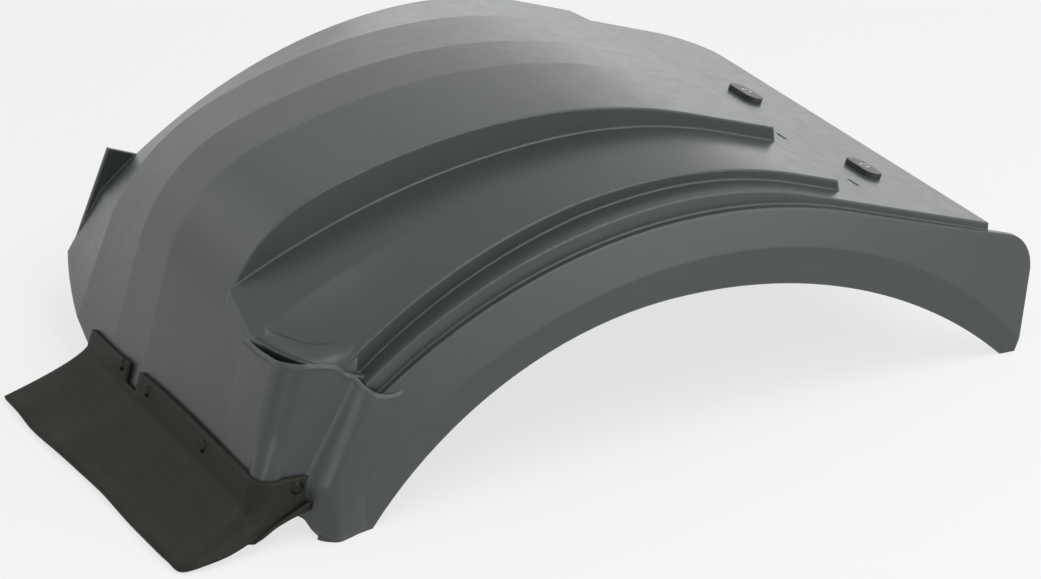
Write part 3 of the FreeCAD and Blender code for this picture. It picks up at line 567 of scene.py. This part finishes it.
class MUDGUARD_OT_fixings(bpy.types.Operator):
    """Gives the flange's bushes and sleeves their finishes"""
    bl_idname = "mudguard.fixings"
    bl_label = "Bushes and sleeves"

    def execute(self, context):
        rubber = moulded_rubber(settings(context).rubber)
        dress(rubber, [n for n in NODES if n.startswith("flange_grommet")])
        plated = bpy.data.materials["zinc_plated_steel"]
        dress(plated, [n for n in NODES if n.startswith("grommet_sleeve")])
        return {"FINISHED"}


# Half the floor's width in metres, and the share of plain white in what is seen of it.
FLOOR_HALF, FLOOR_WHITE = 9.0, 0.72
# The lamps in metres: name, width and height, place, point they face.
LAMPS = (("key", (2.6, 2.0), (0.7, -1.2, 2.9), (0.0, 0.0, 0.2)),
         ("front", (2.2, 1.0), (1.3, -2.6, 0.6), (0.0, -0.2, 0.2)),
         ("back", (2.4, 0.5), (2.2, 2.7, 0.3), (0.3, 0.0, 0.2)),
         ("corner", (0.5, 1.2), (-2.6, -1.7, 0.7), (-0.4, -0.3, 0.1)),
         ("side", (1.8, 1.8), (-2.0, 2.3, 1.8), (0.0, 0.0, 0.2)))


class MUDGUARD_OT_stage(bpy.types.Operator):
    """Makes the floor, the lamps, the sky and the camera"""
    bl_idname = "mudguard.stage"
    bl_label = "Stage"

    def seen(self, tree):
        """1 for what the camera sees, straight or in a gloss or a glass."""
        path = add(tree, "ShaderNodeLightPath")
        gloss = add(tree, "ShaderNodeMath", {"operation": "MAXIMUM"},
                    {0: path.outputs["Is Camera Ray"], 1: path.outputs["Is Glossy Ray"]})
        both = add(tree, "ShaderNodeMath", {"operation": "MAXIMUM"},
                   {0: gloss.outputs[0], 1: path.outputs["Is Transmission Ray"]})
        return both.outputs[0]

    def lamp(self, context, name, power, size, place, aim):
        """An oblong lamp that faces a point."""
        data = bpy.data.lights.new(name, "AREA")
        data.energy = power
        data.shape = "RECTANGLE"
        data.size, data.size_y = size
        lamp = bpy.data.objects.new(name, data)
        lamp.location = place
        lamp.rotation_euler = (Vector(aim) - Vector(place)).to_track_quat("-Z", "Y").to_euler()
        context.scene.collection.objects.link(lamp)

    def execute(self, context):
        stage = settings(context).stage
        mesh = bpy.data.meshes.new("floor")
        bm = bmesh.new()
        bmesh.ops.create_grid(bm, x_segments=1, y_segments=1, size=FLOOR_HALF)
        bm.to_mesh(mesh)
        bm.free()
        floor = bpy.data.objects.new("floor", mesh)
        context.scene.collection.objects.link(floor)
        material, tree, _where = new_material("pale_floor")
        part = add(tree, "ShaderNodeMath", {"operation": "MULTIPLY", 1: FLOOR_WHITE}, {0: self.seen(tree)})
        matt = add(tree, "ShaderNodeBsdfDiffuse", {"Color": stage.floor})
        white = add(tree, "ShaderNodeEmission", {"Color": WHITE, "Strength": 1.0})
        both = add(tree, "ShaderNodeMixShader", None,
                   {0: part.outputs[0], 1: matt.outputs[0], 2: white.outputs[0]})
        add(tree, "ShaderNodeOutputMaterial", None, {"Surface": both.outputs[0]})
        mesh.materials.append(material)

        world = bpy.data.worlds.new("studio")
        context.scene.world = world
        world.use_nodes = True
        tree = world.node_tree
        tree.nodes.clear()
        even = add(tree, "ShaderNodeBackground", {"Color": WHITE, "Strength": stage.sky})
        white = add(tree, "ShaderNodeBackground", {"Color": WHITE, "Strength": 1.0})
        both = add(tree, "ShaderNodeMixShader", None,
                   {0: self.seen(tree), 1: even.outputs[0], 2: white.outputs[0]})
        add(tree, "ShaderNodeOutputWorld", None, {"Surface": both.outputs[0]})

        for name, size, place, aim in LAMPS:
            self.lamp(context, name, getattr(stage, name), size, place, aim)

        data = bpy.data.cameras.new("camera")
        data.sensor_fit = "HORIZONTAL"
        data.sensor_width = SENSOR_MM
        data.lens = stage.lens
        camera = bpy.data.objects.new("camera", data)
        turn = Euler((math.pi / 2 - stage.elevation, 0.0, stage.azimuth))
        camera.rotation_euler = turn
        camera.location = Vector(stage.target) + turn.to_matrix() @ Vector((0.0, 0.0, stage.away))
        context.scene.collection.objects.link(camera)
        context.scene.camera = camera
        context.scene.view_settings.view_transform = "Standard"
        return {"FINISHED"}


class MUDGUARD_PT_panel(bpy.types.Panel):
    """Lists the pieces of the mudguard."""
    bl_idname = "MUDGUARD_PT_panel"
    bl_label = "Mudguard"
    bl_space_type = "VIEW_3D"
    bl_region_type = "UI"
    bl_category = "Mudguard"

    def draw(self, context):
        for operator in OPERATORS:
            self.layout.operator(operator.bl_idname)
        for group in ("shell", "rubber", "metal", "stage"):
            box = self.layout.box()
            owner = getattr(settings(context), group)
            for name in owner.__annotations__:
                box.prop(owner, name)


OPERATORS = (MUDGUARD_OT_shell, MUDGUARD_OT_corner, MUDGUARD_OT_flap, MUDGUARD_OT_rivets,
             MUDGUARD_OT_fixings, MUDGUARD_OT_stage)
CLASSES = (MudguardShellFinish, MudguardRubberFinish, MudguardMetalFinish, MudguardStage,
           MudguardSettings) + OPERATORS + (MUDGUARD_PT_panel,)


def register():
    for cls in CLASSES:
        bpy.utils.register_class(cls)
    bpy.types.Scene.mudguard = bpy.props.PointerProperty(type=MudguardSettings, name="Mudguard",
                                                         description="Settings of the mudguard")


def unregister():
    del bpy.types.Scene.mudguard
    for cls in reversed(CLASSES):
        bpy.utils.unregister_class(cls)


def main():
    register()
    bpy.ops.mudguard.shell()
    bpy.ops.mudguard.corner()
    bpy.ops.mudguard.flap()
    bpy.ops.mudguard.rivets()
    bpy.ops.mudguard.fixings()
    bpy.ops.mudguard.stage()


if __name__ == "__main__":
    main()
